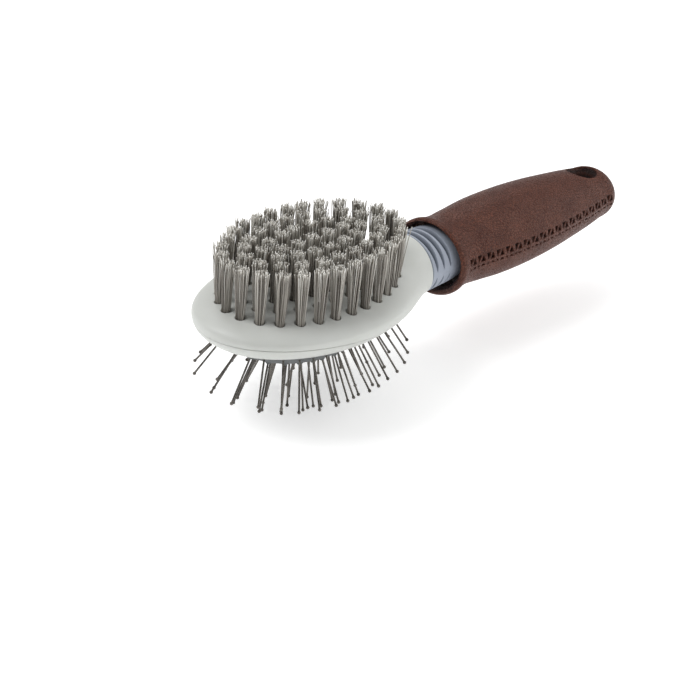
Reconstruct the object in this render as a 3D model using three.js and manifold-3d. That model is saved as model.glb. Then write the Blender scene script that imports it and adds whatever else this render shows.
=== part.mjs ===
// A double-sided hand brush for a pet's coat. Tufts of nylon bristle stand on one side of an
// oval head, and ball-tipped steel pins hang from a domed rubber cushion on the other.
// Millimetres. While the pieces are made, x = 0 and y = 0 is the middle of the oval head, z = 0 is
// the axis of the handle, +X runs to the handle's end and +Z to the bristle side. The group at the
// end moves all of it, so that the origin is under the middle of the brush, at the lowest ball tip.
import * as THREE from "three";
import { mergeVertices } from "three/addons/utils/BufferGeometryUtils.js";
import Module from "manifold-3d";

const wasm = await Module();
wasm.setup();

// ---- driving dimensions ----
const GAP = 0.3; // between two pieces that touch

// head
const TIP_X = -44.4; // front end of the head
const WIDEST_X = 1;
const HEAD_HALF_WIDTH = 29.8;
const NOSE_FALL = 0.55; // below 1, the crown comes down more slowly than the outline closes
const NECK_END_X = 48.9;
const NECK_HALF_WIDTH = 12.4;
const NECK_DEPTH = 9.9; // from the handle axis down to the underside of the neck
const CROWN = 6; // height of the bristle side above the widest line
const NECK_CREST = 11.7;
const BELLY = 13.6; // depth of the pin side below the widest line
const WIDEST_Z = 4.3; // height of the widest line on the head
const SEAM_DROP = 8.8; // how far the seam between the shells falls from tip to neck
const SEAM_POWER = 1.6; // above 1, the seam falls more steeply towards the neck
const RIM_Z = -3; // flat edge round the cushion's window
const RIM_END_X = 18; // behind this the underside sweeps down to the round neck

// inside of the head
const POCKET = { a: 37.2, b: 26 }; // oval pocket for the cushion's flange
const POCKET_FLOOR_Z = 0.2;
const POCKET_ROOF_Z = 4.1;
const WINDOW = { a: 35.3, b: 22.3 };
const WINDOW_FLARE = 9.6; // the window opens out at 45 degrees below the rim
const FLANGE_THICK = 1.2;
const RETAINER_WALL = 2.6;

// bristle tufts
const TUFT_RINGS = [
  { a: 35, b: 22.1, count: 28 },
  { a: 28, b: 15.1, count: 20 },
  { a: 21, b: 8.1, count: 14 },
];
const TUFT_CENTRE_ROW = { count: 5, pitch: 7 };
const TUFT_FOOT_R = 1.5;
const TUFT_TOP_R = 2.3;
const TUFT_SIDES = 6;
const TRIM_Z = 26.1; // the tufts are cut level here
const BANKS = 9; // anchor strips under the tufts, side by side along X
const BANK_PITCH = 8;
const STRIP_THICK = 0.6;

// cushion
const DOME_Z = -15.8; // lowest point of the rubber dome
const DOME_DEPTH = 22.5; // semi-axis of the ellipsoid along Z
const DOME_SPREAD = 1.07; // ellipsoid's plan size over the dome's oval
const DOME = { a: 35, b: 22 };
const DOME_EDGE = 0.968; // the moving dome ends here, as a share of its oval
const RUBBER = 1.3; // thickness of the rubber, measured along Z

// pins
const PIN_ROWS = [4, 5, 6, 7, 8, 7, 8, 7, 8, 7, 6, 5, 4]; // pins in each row, from the tip
const PIN_ROW_PITCH = 4.75;
const PIN_OVAL = { a: 32.5, b: 19 };
const PIN_R = 0.33;
const PIN_BALL_R = 0.6;
const PIN_LENGTH = 16; // from the rubber to the middle of the ball
const PIN_SPLAY = { x: 0.0225, y: 0.0432 }; // outward lean per millimetre from the middle
const PIN_SIDES = 5;
const PIN_HOLE_R = 1.1;
const PIN_HOLE_SIDES = 6;
const PIN_STRIP = { inward: 1.8, outward: 0.6 }; // reach of a strip either side of its pin heads
const PIN_STRIP_ROOM = 1.5; // clear space between the strips and the rubber's rim
const PIN_STRIP_LIFT = 1.5; // from the inside of the rubber to the strip of pin heads

// collar
const COLLAR = { x0: 49.2, x1: 64.4, a0: 12.4, b0: 10.8, a1: 12.7, b1: 10.5 };
const COLLAR_Z = 0.9; // the collar's own axis is a little above the handle's
const COLLAR_WALL = 2.6;
const GROOVES = { first: 51.3, pitch: 3.5, count: 3, halfWidth: 1.2, depth: 2.2 };

// handle
const GRIP_FRONT_X = 60.6;
const GRIP_END_X = 160.6;
const GRIP_FLATNESS = 0.86; // half height over half width
const GRIP_MOUTH = { a: 13.2, b: 11.1, x0: 62.6, x1: 65 };
const GRIP_FUNNEL = 1; // the mouth opens out by this much towards the front edge
const GRIP_STATIONS = [
  [60.6, 15],
  [61.4, 15.7],
  [62.8, 15.9],
  [65, 15.3],
  [68.5, 14.8],
  [78, 15.3],
  [88.5, 16.2],
  [99, 16.4],
  [110, 16.1],
  [120.5, 15.35],
  [131, 14.2],
  [142, 12.8],
  [150, 11.5],
]; // [x, half width]
const GRIP_WALL = 3.2;
const CORE_END_X = 136;
const TANG = { x0: 39.4, a: 7, b: 3.6, z: 1 };
const HANG_HOLE = { x: 146.6, halfLength: 4.8, halfWidth: 3.8 };

// ---- helpers ----
const COLOURS = {
  shell: [0xcbcdca, 0.45, 0],
  rubber: [0x6c6f70, 0.7, 0],
  plastic: [0x8b8d8c, 0.6, 0],
  nylon: [0xaaa59b, 0.6, 0],
  steel: [0x8c8a86, 0.3, 1],
  collar: [0x8d95a4, 0.55, 0],
  leather: [0x5c4238, 0.65, 0],
};

function piece(name, geometry, colour) {
  const [color, roughness, metalness] = COLOURS[colour];
  const finish = new THREE.MeshStandardMaterial({ color, roughness, metalness });
  const mesh = new THREE.Mesh(geometry, finish);
  mesh.name = name;
  return mesh;
}

function solid(geometry) {
  const bare = geometry.index ? geometry.toNonIndexed() : geometry.clone();
  bare.deleteAttribute("normal");
  bare.deleteAttribute("uv");
  const merged = mergeVertices(bare, 1e-4);
  return new wasm.Manifold(
    new wasm.Mesh({
      numProp: 3,
      vertProperties: merged.attributes.position.array,
      triVerts: new Uint32Array(merged.index.array),
    }),
  );
}

function shapeOf(manifold) {
  const mesh = manifold.getMesh();
  const geometry = new THREE.BufferGeometry();
  geometry.setAttribute("position", new THREE.BufferAttribute(mesh.vertProperties, 3));
  geometry.setIndex(new THREE.BufferAttribute(mesh.triVerts, 1));
  geometry.computeVertexNormals();
  return geometry;
}

function cut(body, tools) {
  return tools.reduce((left, tool) => left.subtract(tool), body);
}

// Skins a list of rings that all have the same number of points. A closed skin returns from the
// last ring to the first; an open one is capped with a fan at both ends.
function skin(rings, closed = false) {
  const sides = rings[0].length;
  const points = rings.flat();
  const faces = [];
  const spans = closed ? rings.length : rings.length - 1;
  for (let i = 0; i < spans; i++) {
    const here = i * sides;
    const next = ((i + 1) % rings.length) * sides;
    for (let j = 0; j < sides; j++) {
      const k = (j + 1) % sides;
      faces.push(here + j, here + k, next + k, here + j, next + k, next + j);
    }
  }
  if (!closed) {
    const last = (rings.length - 1) * sides;
    for (let j = 1; j < sides - 1; j++) {
      faces.push(0, j + 1, j);
      faces.push(last, last + j, last + j + 1);
    }
  }
  const geometry = new THREE.BufferGeometry();
  geometry.setAttribute("position", new THREE.Float32BufferAttribute(points.flat(), 3));
  geometry.setIndex(faces);
  const checked = solid(geometry);
  if (checked.volume() > 0) return checked;
  geometry.setIndex(faces.reverse());
  return solid(geometry);
}

// Rings round a vertical axis: each profile point is an oval { a, b } at a height z.
function oval({ a, b, z }, sides, x = 0) {
  return Array.from({ length: sides }, (_, j) => {
    const angle = (2 * Math.PI * j) / sides;
    return [x + a * Math.cos(angle), b * Math.sin(angle), z];
  });
}

// An ellipse across the handle at x.
function crossOval(x, a, b, sides, z = 0) {
  return Array.from({ length: sides }, (_, j) => {
    const angle = (2 * Math.PI * j) / sides;
    return [x, a * Math.cos(angle), z + b * Math.sin(angle)];
  });
}

function rod(from, to, radius, sides) {
  const direction = new THREE.Vector3().subVectors(to, from);
  const geometry = new THREE.CylinderGeometry(radius, radius, direction.length(), sides);
  const turn = new THREE.Quaternion().setFromUnitVectors(
    new THREE.Vector3(0, 1, 0),
    direction.clone().normalize(),
  );
  geometry.applyQuaternion(turn);
  geometry.translate(...new THREE.Vector3().addVectors(from, to).multiplyScalar(0.5).toArray());
  return solid(geometry);
}

function block(x0, x1, y0, y1, z0, z1) {
  const geometry = new THREE.BoxGeometry(x1 - x0, y1 - y0, z1 - z0);
  geometry.translate((x0 + x1) / 2, (y0 + y1) / 2, (z0 + z1) / 2);
  return solid(geometry);
}

function ease(t) {
  const clamped = Math.min(1, Math.max(0, t));
  return (1 - Math.cos(Math.PI * clamped)) / 2;
}

// ---- head: the outer form, before it is split into its two shells ----
const alongNeck = (x) => Math.max(0, (x - WIDEST_X) / (NECK_END_X - WIDEST_X));
const alongNose = (x) => Math.max(0, (WIDEST_X - x) / (WIDEST_X - TIP_X));
const noseShare = (x) => Math.sqrt(Math.max(0, 1 - alongNose(x) ** 2));

function headHalfWidth(x) {
  const taper = Math.pow(1 - Math.pow(Math.min(1, alongNeck(x)), 1.9), 1.45);
  const behind = NECK_HALF_WIDTH + (HEAD_HALF_WIDTH - NECK_HALF_WIDTH) * taper;
  return behind * noseShare(x);
}

const widestHeight = (x) => WIDEST_Z * (1 - ease(alongNeck(x)));
const seamHeight = (x) => WIDEST_Z - SEAM_DROP * ((x - TIP_X) / (NECK_END_X - TIP_X)) ** SEAM_POWER;

function headRing(x, sides) {
  const middle = widestHeight(x);
  const crest = WIDEST_Z + CROWN + (NECK_CREST - WIDEST_Z - CROWN) * ease(alongNeck(x));
  const up = (crest - middle) * noseShare(x) ** NOSE_FALL;
  const down = (BELLY + (NECK_DEPTH - BELLY) * alongNeck(x)) * noseShare(x);
  const sweep = (x - RIM_END_X) / (NECK_END_X - RIM_END_X);
  const floor = RIM_Z - (NECK_DEPTH + RIM_Z) * ease(sweep);
  const wide = headHalfWidth(x);
  return Array.from({ length: sides }, (_, j) => {
    const angle = (2 * Math.PI * j) / sides;
    const z = middle + Math.sin(angle) * (angle < Math.PI ? up : down);
    return [x, wide * Math.cos(angle), Math.max(z, floor)];
  });
}

function headForm() {
  const sides = 32;
  const noseSteps = 8;
  const neckSteps = 9;
  const rings = [];
  for (let i = 1; i < noseSteps; i++) {
    const x = WIDEST_X - (WIDEST_X - TIP_X) * Math.cos((Math.PI / 2) * (i / noseSteps));
    rings.push(headRing(x, sides));
  }
  for (let i = 0; i <= neckSteps; i++) {
    rings.push(headRing(WIDEST_X + ((NECK_END_X - WIDEST_X) * i) / neckSteps, sides));
  }
  return skin(rings);
}

// Everything above the seam surface, raised by lift.
function aboveSeam(lift) {
  const outline = new THREE.Shape();
  const steps = 16;
  outline.moveTo(-60, 60);
  outline.lineTo(-60, WIDEST_Z + lift);
  for (let i = 0; i <= steps; i++) {
    const x = TIP_X + ((NECK_END_X - TIP_X) * i) / steps;
    outline.lineTo(x, seamHeight(x) + lift);
  }
  outline.lineTo(60, seamHeight(NECK_END_X) + lift);
  outline.lineTo(60, 60);
  const geometry = new THREE.ExtrudeGeometry(outline, { depth: 120, bevelEnabled: false });
  geometry.rotateX(Math.PI / 2);
  geometry.translate(0, 60, 0);
  return solid(geometry);
}

function ovalPrism({ a, b }, z0, z1, sides = 32) {
  return skin([oval({ a, b, z: z0 }, sides), oval({ a, b, z: z1 }, sides)]);
}

function tangForm(extra) {
  const x1 = NECK_END_X + 2;
  return skin([
    crossOval(TANG.x0 - extra, TANG.a + extra, TANG.b + extra, 16, TANG.z),
    crossOval(x1, TANG.a + extra, TANG.b + extra, 16, TANG.z),
  ]);
}

// ---- bristle tufts ----
// Points spaced evenly along an oval, the first one half a space off the +X end.
function evenlyRound({ a, b, count }) {
  const fine = 720;
  const at = (k) => {
    const angle = (2 * Math.PI * k) / fine;
    return new THREE.Vector2(a * Math.cos(angle), b * Math.sin(angle));
  };
  const travelled = [0];
  for (let k = 1; k <= fine; k++) travelled.push(travelled[k - 1] + at(k).distanceTo(at(k - 1)));
  const space = travelled[fine] / count;
  return Array.from({ length: count }, (_, i) => {
    const wanted = (i + 0.5) * space;
    return at(travelled.findIndex((length) => length >= wanted));
  });
}

function tuftPlaces() {
  const row = TUFT_CENTRE_ROW;
  const middle = Array.from(
    { length: row.count },
    (_, i) => new THREE.Vector2((i - (row.count - 1) / 2) * row.pitch, 0),
  );
  return [...TUFT_RINGS.flatMap(evenlyRound), ...middle];
}

const tufts = tuftPlaces();
const bankOf = (x) => Math.min(BANKS - 1, Math.max(0, Math.round(x / BANK_PITCH + (BANKS - 1) / 2)));
const bankX = (bank) => (bank - (BANKS - 1) / 2) * BANK_PITCH;
const STRIP_TOP_Z = POCKET_ROOF_Z - GAP;

function tuftForm({ x, y }) {
  const ring = (radius, z) => {
    const round = oval({ a: radius, b: radius, z }, TUFT_SIDES, x);
    return round.map((point) => [point[0], point[1] + y, point[2]]);
  };
  return skin([ring(TUFT_FOOT_R, STRIP_TOP_Z + 0.5), ring(TUFT_TOP_R, TRIM_Z)]);
}

// One bank: its tufts, the staple post under each of them, and the strip that joins the posts.
function bristleBank(bank) {
  const members = tufts.filter(({ x }) => bankOf(x) === bank);
  const middle = bankX(bank);
  const reach = BANK_PITCH / 2 - 0.9;
  const half = BANK_PITCH / 2 - 0.3;
  const ys = members.map(({ y }) => y);
  const strip = block(
    middle - half,
    middle + half,
    Math.min(...ys) - 0.8,
    Math.max(...ys) + 0.8,
    STRIP_TOP_Z - STRIP_THICK,
    STRIP_TOP_Z,
  );
  const posts = members.map(({ x, y }) => {
    const px = Math.min(middle + reach, Math.max(middle - reach, x));
    return block(px - 0.4, px + 0.4, y - 0.6, y + 0.6, STRIP_TOP_Z - STRIP_THICK / 2, STRIP_TOP_Z + 1);
  });
  const room = ovalPrism({ a: POCKET.a - GAP, b: POCKET.b - GAP }, 0, TRIM_Z);
  const standing = [...posts, ...members.map(tuftForm)];
  return standing.reduce((sum, part) => sum.add(part), strip.intersect(room));
}

function upperShell() {
  const sockets = tufts.map(({ x, y }) =>
    rod(new THREE.Vector3(x, y, 0), new THREE.Vector3(x, y, 20), TUFT_FOOT_R + 0.55, TUFT_SIDES),
  );
  const body = headForm().intersect(aboveSeam(GAP / 2));
  return cut(body, [ovalPrism(POCKET, -20, POCKET_ROOF_Z), tangForm(GAP), ...sockets]);
}

function windowForm() {
  const { a, b } = WINDOW;
  const low = RIM_Z - GAP - WINDOW_FLARE;
  return skin([
    oval({ a: a + WINDOW_FLARE, b: b + WINDOW_FLARE, z: low }, 32),
    oval({ a, b, z: RIM_Z - GAP }, 32),
    oval({ a, b, z: 20 }, 32),
  ]);
}

function lowerShell() {
  const body = headForm().subtract(aboveSeam(-GAP / 2));
  return cut(body, [
    ovalPrism(POCKET, POCKET_FLOOR_Z, 20),
    windowForm(),
    tangForm(GAP),
  ]);
}

// ---- cushion ----
function domeHeight(x, y) {
  const share = Math.hypot(x / DOME.a, y / DOME.b) / DOME_SPREAD;
  return DOME_Z + DOME_DEPTH * (1 - Math.sqrt(1 - share * share));
}

function domeProfile(lift) {
  return [0.04, 0.45, 0.75, DOME_EDGE].map((share) => ({
    a: DOME.a * share,
    b: DOME.b * share,
    z: domeHeight(DOME.a * share, 0) + lift,
  }));
}

function cushionRim() {
  const inner = { a: DOME.a * DOME_EDGE + GAP, b: DOME.b * DOME_EDGE + GAP };
  const outer = { a: POCKET.a - GAP, b: POCKET.b - GAP };
  const low = POCKET_FLOOR_Z + GAP;
  const profile = [
    { ...inner, z: RIM_Z + 0.1 },
    { ...DOME, z: RIM_Z + 0.1 },
    { ...DOME, z: low },
    { ...outer, z: low },
    { ...outer, z: low + FLANGE_THICK },
    { ...inner, z: low + FLANGE_THICK },
  ];
  return skin(profile.map((point) => oval(point, 32)), true);
}

function cushionRetainer() {
  const outer = { a: POCKET.a - GAP, b: POCKET.b - GAP };
  const inner = { a: outer.a - RETAINER_WALL, b: outer.b - RETAINER_WALL };
  const low = POCKET_FLOOR_Z + 2 * GAP + FLANGE_THICK;
  const high = STRIP_TOP_Z - STRIP_THICK - GAP;
  const profile = [
    { ...inner, z: low },
    { ...outer, z: low },
    { ...outer, z: high },
    { ...inner, z: high },
  ];
  return skin(profile.map((point) => oval(point, 32)), true);
}

// ---- pins ----
const rowX = (row) => (row - (PIN_ROWS.length - 1) / 2) * PIN_ROW_PITCH;

function rowPins(row) {
  const x = rowX(row);
  const reach = PIN_OVAL.b * Math.sqrt(1 - (x / PIN_OVAL.a) ** 2);
  const count = PIN_ROWS[row];
  return Array.from({ length: count }, (_, i) => {
    const y = reach * ((2 * i) / (count - 1) - 1);
    const foot = new THREE.Vector3(x, y, domeHeight(x, y));
    const lean = new THREE.Vector3(x * PIN_SPLAY.x, y * PIN_SPLAY.y, -1).normalize();
    return { foot, lean };
  });
}

const pinRows = PIN_ROWS.map((_, row) => rowPins(row));

function pinForm({ foot, lean }) {
  const head = foot.clone().addScaledVector(lean, -(RUBBER + PIN_STRIP_LIFT + 0.4));
  const length = head.distanceTo(foot) + PIN_LENGTH;
  const r = PIN_BALL_R;
  const outline = [
    [0, 0],
    [PIN_R, 0],
    [PIN_R, length - 0.85 * r],
    [r, length],
    [0, length + r],
  ].map(([radius, along]) => new THREE.Vector2(radius, along));
  const geometry = new THREE.LatheGeometry(outline, PIN_SIDES);
  const upright = new THREE.Vector3(0, 1, 0);
  geometry.applyQuaternion(new THREE.Quaternion().setFromUnitVectors(upright, lean));
  geometry.translate(head.x, head.y, head.z);
  return solid(geometry);
}

// The strip that joins a row's pin heads, arched over the inside of the dome.
function pinStrip(row) {
  const x = rowX(row);
  const lift = RUBBER + PIN_STRIP_LIFT;
  const heads = pinRows[row].map(({ foot, lean }) => foot.clone().addScaledVector(lean, -lift));
  const last = heads.length - 1;
  const out = (k) => Math.sign(heads[k].y) * 0.7;
  const spine = heads.map((head, k) => [head.y + (k === 0 || k === last ? out(k) : 0), head.z]);
  const outline = new THREE.Shape();
  outline.moveTo(spine[0][0], spine[0][1]);
  spine.slice(1).forEach(([y, z]) => outline.lineTo(y, z));
  [...spine].reverse().forEach(([y, z]) => outline.lineTo(y, z + 0.8));
  const depth = PIN_STRIP.inward + PIN_STRIP.outward;
  const headX = heads[0].x;
  const startX = headX - (x > 0 ? PIN_STRIP.inward : PIN_STRIP.outward);
  const geometry = new THREE.ExtrudeGeometry(outline, { depth, bevelEnabled: false });
  geometry.applyMatrix4(new THREE.Matrix4().set(0, 0, 1, startX, 1, 0, 0, 0, 0, 1, 0, 0, 0, 0, 0, 1));
  const room = { a: DOME.a * DOME_EDGE - PIN_STRIP_ROOM, b: DOME.b * DOME_EDGE - PIN_STRIP_ROOM };
  return solid(geometry).intersect(ovalPrism(room, DOME_Z, POCKET_ROOF_Z));
}

function pinRow(row) {
  return pinRows[row].map(pinForm).reduce((sum, pin) => sum.add(pin), pinStrip(row));
}

function cushionDome() {
  const sides = 24;
  const outside = domeProfile(0).map((point) => oval(point, sides));
  const inside = domeProfile(RUBBER).map((point) => oval(point, sides));
  const along = ({ foot, lean }, distance) => foot.clone().addScaledVector(lean, distance);
  const holes = pinRows.flat().map((pin) => rod(along(pin, -3), along(pin, 2), PIN_HOLE_R, PIN_HOLE_SIDES));
  return cut(skin([...inside, ...outside.reverse()]), holes);
}

// ---- collar ----
const collarAt = (x) => {
  const t = (x - COLLAR.x0) / (COLLAR.x1 - COLLAR.x0);
  return { a: COLLAR.a0 + (COLLAR.a1 - COLLAR.a0) * t, b: COLLAR.b0 + (COLLAR.b1 - COLLAR.b0) * t };
};

// A ring of three-cornered section, deepest above and below, that runs out at the sides.
function crescentGroove(x, sides) {
  const { a, b } = collarAt(x);
  const corners = [
    { x: x - GROOVES.halfWidth, a: a + 1.4, b: b + 0.4 },
    { x, a: a + 0.3, b: b - GROOVES.depth },
    { x: x + GROOVES.halfWidth, a: a + 1.4, b: b + 0.4 },
    { x, a: a + 3, b: b + 3 },
  ];
  const rings = corners.map((corner) => crossOval(corner.x, corner.a, corner.b, sides, COLLAR_Z));
  return skin(rings, true);
}

function neckCollar() {
  const sides = 24;
  const ring = (x, wall) => {
    const { a, b } = collarAt(x);
    return crossOval(x, a - wall, b - wall, sides, COLLAR_Z);
  };
  const { x0, x1 } = COLLAR;
  const tube = skin([ring(x0, 0), ring(x1, 0), ring(x1, COLLAR_WALL), ring(x0, COLLAR_WALL)], true);
  const grooves = Array.from({ length: GROOVES.count }, (_, i) =>
    crescentGroove(GROOVES.first + i * GROOVES.pitch, sides),
  );
  return cut(tube, grooves);
}

// ---- handle ----
const gripCurve = new THREE.CatmullRomCurve3(GRIP_STATIONS.map(([x, r]) => new THREE.Vector3(x, r, 0)));

const gripSamples = gripCurve.getSpacedPoints(80);

// Half width of the grip at x: the curve as far as its last station, then a rounded end.
function gripHalfWidth(x) {
  const end = gripSamples[gripSamples.length - 1];
  if (x >= end.x) {
    const share = (x - end.x) / (GRIP_END_X - end.x);
    return end.y * Math.sqrt(Math.max(0, 1 - share ** 2.6));
  }
  const next = Math.max(1, gripSamples.findIndex((point) => point.x >= x));
  const [before, after] = [gripSamples[next - 1], gripSamples[next]];
  return before.y + ((after.y - before.y) * (x - before.x)) / (after.x - before.x);
}

function gripRing(x, inset, sides) {
  const radius = gripHalfWidth(x);
  return crossOval(x, radius - inset, radius * GRIP_FLATNESS - inset, sides);
}

function gripSurface() {
  const sides = 24;
  const endSteps = 7;
  const stations = GRIP_STATIONS.map(([x]) => x);
  const from = stations[stations.length - 1];
  const reach = GRIP_END_X - 0.05 - from;
  for (let i = 1; i <= endSteps; i++) stations.push(from + reach * Math.sin((Math.PI / 2) * (i / endSteps)));
  return skin(stations.map((x) => gripRing(x, 0, sides)));
}

function coreForm(extra) {
  const neck = collarAt(56);
  const clear = COLLAR_WALL + GAP - extra;
  const neckRing = (x) => crossOval(x, neck.a - clear, neck.b - clear, 24, COLLAR_Z);
  const from = 68;
  const reach = CORE_END_X + extra - from;
  const steps = 8;
  const shaft = Array.from({ length: steps + 1 }, (_, i) =>
    gripRing(from + (reach * i) / steps, GRIP_WALL + GAP - extra, 24),
  );
  return skin([neckRing(NECK_END_X + GAP), neckRing(65.2), ...shaft]);
}

function handleCore() {
  return coreForm(0).add(tangForm(0));
}

function hangHole() {
  const { x, halfLength, halfWidth } = HANG_HOLE;
  return skin([
    oval({ a: halfLength + 1.6, b: halfWidth + 1.6, z: 12 }, 20, x),
    oval({ a: halfLength, b: halfWidth, z: 6 }, 20, x),
    oval({ a: halfLength, b: halfWidth, z: -6 }, 20, x),
    oval({ a: halfLength + 1.6, b: halfWidth + 1.6, z: -12 }, 20, x),
  ]);
}

function gripMouth() {
  const { a, b, x0, x1 } = GRIP_MOUTH;
  const before = 2 * GRIP_FRONT_X - x0;
  const wider = 2 * GRIP_FUNNEL;
  return skin([
    crossOval(before, a + wider, b + wider, 24, COLLAR_Z),
    crossOval(x0, a, b, 24, COLLAR_Z),
    crossOval(x1, a, b, 24, COLLAR_Z),
  ]);
}

function gripSleeve() {
  return cut(gripSurface(), [gripMouth(), coreForm(GAP), hangHole()]);
}

// ---- assembly ----
const brush = new THREE.Group();
brush.name = "bristle_brush";
brush.add(piece("upper_shell", shapeOf(upperShell()), "shell"));
brush.add(piece("lower_shell", shapeOf(lowerShell()), "shell"));
brush.add(piece("cushion_rim", shapeOf(cushionRim()), "rubber"));
brush.add(piece("cushion_dome", shapeOf(cushionDome()), "rubber"));
brush.add(piece("cushion_retainer", shapeOf(cushionRetainer()), "plastic"));
brush.add(piece("neck_collar", shapeOf(neckCollar()), "collar"));
brush.add(piece("handle_core", shapeOf(handleCore()), "plastic"));
brush.add(piece("grip_sleeve", shapeOf(gripSleeve()), "leather"));
for (let bank = 0; bank < BANKS; bank++) {
  brush.add(piece(`bristle_bank_${bank + 1}`, shapeOf(bristleBank(bank)), "nylon"));
}
for (let row = 0; row < PIN_ROWS.length; row++) {
  brush.add(piece(`pin_row_${row + 1}`, shapeOf(pinRow(row)), "steel"));
}

const outside = new THREE.Box3().setFromObject(brush, true);
brush.position.set(-(outside.min.x + outside.max.x) / 2, 0, -outside.min.z);

export default brush;
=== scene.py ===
"""A double-sided brush for a pet's coat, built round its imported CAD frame.

Shapes are worked out in millimetres in the brush's own coordinates: x = 0, y = 0 is the middle of
the oval head, z = 0 is the axis of the handle, +X runs to the handle's end and +Z to the bristles.
to_row() turns them into the frame's metres, from places that the frame gives.
"""

import math
import random

import bmesh
import bpy
import numpy as np
from mathutils import Matrix, Vector


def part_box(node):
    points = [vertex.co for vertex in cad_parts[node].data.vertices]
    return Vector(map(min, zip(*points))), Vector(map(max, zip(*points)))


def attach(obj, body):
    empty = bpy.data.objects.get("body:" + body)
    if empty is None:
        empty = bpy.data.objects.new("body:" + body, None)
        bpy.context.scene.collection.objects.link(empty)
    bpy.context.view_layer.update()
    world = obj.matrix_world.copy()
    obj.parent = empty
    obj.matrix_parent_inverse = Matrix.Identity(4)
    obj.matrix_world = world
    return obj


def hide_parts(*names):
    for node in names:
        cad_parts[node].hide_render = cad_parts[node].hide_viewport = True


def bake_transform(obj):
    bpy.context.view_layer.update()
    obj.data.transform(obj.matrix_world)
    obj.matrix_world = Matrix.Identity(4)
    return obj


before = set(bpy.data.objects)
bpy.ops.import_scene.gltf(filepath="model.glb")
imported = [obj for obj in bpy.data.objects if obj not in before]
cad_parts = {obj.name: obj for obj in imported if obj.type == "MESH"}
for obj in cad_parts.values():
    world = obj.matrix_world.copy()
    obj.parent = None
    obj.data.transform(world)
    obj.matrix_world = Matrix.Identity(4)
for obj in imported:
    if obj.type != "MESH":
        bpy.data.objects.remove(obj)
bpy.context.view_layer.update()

MM = 0.001

# ---- places that the frame gives ----
MIDDLE_BANK = "bristle_bank_5"
bank_low, bank_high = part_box(MIDDLE_BANK)
grip_low, grip_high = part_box("grip_sleeve")
HEAD_X = (bank_low.x + bank_high.x) / 2
AXIS_Z = (grip_low.z + grip_high.z) / 2
TRIM_Z = (bank_high.z - AXIS_Z) / MM  # the height at which the tufts are cut level


def to_row(points):
    """Brush millimetres to the frame's metres."""
    return np.asarray(points, float) * MM + np.array([HEAD_X, 0, AXIS_Z])


# ---- driving dimensions, in millimetres ----
# They are the CAD part's, but for three places that follow the photograph more closely: the seam
# (up to 1.1 mm lower at the tip), the collar's rear end and the grip's funnel (under 1 mm each).
TIP_X = -44.4
WIDEST_X = 1
HEAD_HALF_WIDTH = 29.8
NOSE_FALL = 0.55
NECK_END_X = 48.9
NECK_HALF_WIDTH = 12.4
NECK_TAPER = (1.9, 1.45)  # powers of the curve from the head to the neck
NECK_DEPTH = 9.9
CROWN = 6
NECK_CREST = 11.7
BELLY = 13.6
WIDEST_Z = 4.3
SEAM_Z = 3.2
SEAM_DROP = 7.7
SEAM_POWER = 1.6
RIM_Z = -3
RIM_END_X = 18
SEAM_HALF_GAP = 0.08
EDGE_START = 0.25  # where a shell's edge begins to roll in, above or below the seam
EDGE_ROLL = 0.22
EDGE_ROLL_SHARE = 0.3  # the most that an edge rolls in, as a share of the half width
EDGE_LIFT = 0.07
FLOOR_BLEND = 0.9  # how far the corner of the underside is rounded
NOSE_STEPS = 46
NECK_STEPS = 56
SECTION_STEPS = 72
POCKET = (37.2, 26)  # oval room for the cushion's flange
POCKET_ROOF_Z = 4.1
WINDOW = (35.3, 22.3)
WINDOW_FLARE = 9.6  # the window opens out at 45 degrees below the rim

TUFT_RINGS = ((35, 22.1, 28), (28, 15.1, 20), (21, 8.1, 14))
TUFT_ROW_COUNT = 5
TUFT_ROW_PITCH = 7
BANKS = 9
BANK_PITCH = 8
TUFT_FOOT_R = 1.42
TUFT_TOP_R = 2.35
TUFT_ROOT = 1.6  # depth of a tuft's foot under the crown
TUFT_LEAN = 0.22
SOCKET = ((1.72, -3.0), (1.72, -0.35), (1.82, -0.08), (2.05, 0.12), (2.3, 1.5))
FILAMENTS = 58
FILAMENT_R = 0.155
FILAMENT_SIDES = 5
FILAMENT_STEPS = 6
FILAMENT_BOW = 0.13
FILAMENT_HOOK = 0.3
TIP_SCATTER = 0.24
TRIM_SCATTER = 0.55
TRIM_RISE = 0.25  # how far the tallest filament stands over the level cut
STRAY_CHANCE = 0.05
STRAY_SPREAD = 1.28
BRISTLE_SEED = 7
FILAMENT_TONES = (0.05, 0.25, 0.55, 0.8, 1.0)  # how pale a filament is, 0 to 1

DOME_Z = -15.8
DOME_DEPTH = 22.5
DOME_SPREAD = 1.07
DOME = (35, 22)

PIN_ROWS = (4, 5, 6, 7, 8, 7, 8, 7, 8, 7, 6, 5, 4)
PIN_ROW_PITCH = 4.75
PIN_OVAL = (32.5, 19)
PIN_R = 0.33
PIN_BALL_R = 0.6
PIN_LENGTH = 16
PIN_SPLAY = (0.0225, 0.0432)
PIN_STRAY = 0.05  # how unevenly the pins lean
PIN_ROOT = 2.4  # how far a wire goes on inside the rubber
PIN_COLLAR = (
    (1.25, -0.5), (1.15, 0.0), (0.85, 0.22), (0.6, 0.5), (0.45, 0.55), (0.34, 0.42), (0.32, -0.3),
)

COLLAR_X = (49.2, 64.4)
COLLAR_WIDE = (12.4, 12.1)
COLLAR_HIGH = (10.8, 9.8)
COLLAR_Z = 0.9
COLLAR_WALL = 2.6
COLLAR_EDGE = (0.4, 0.25)  # length and depth of the rounding at its front
MOULD_LINE = (0.07, 0.22)  # height and half width
GROOVE_FIRST = 51.3
GROOVE_PITCH = 3.5
GROOVE_COUNT = 3
GROOVE_HALF_WIDTH = 1.3
GROOVE_DEPTH = 2.3
GROOVE_FROM = 0.12  # sine of the angle at which a crescent starts, from the side

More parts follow.
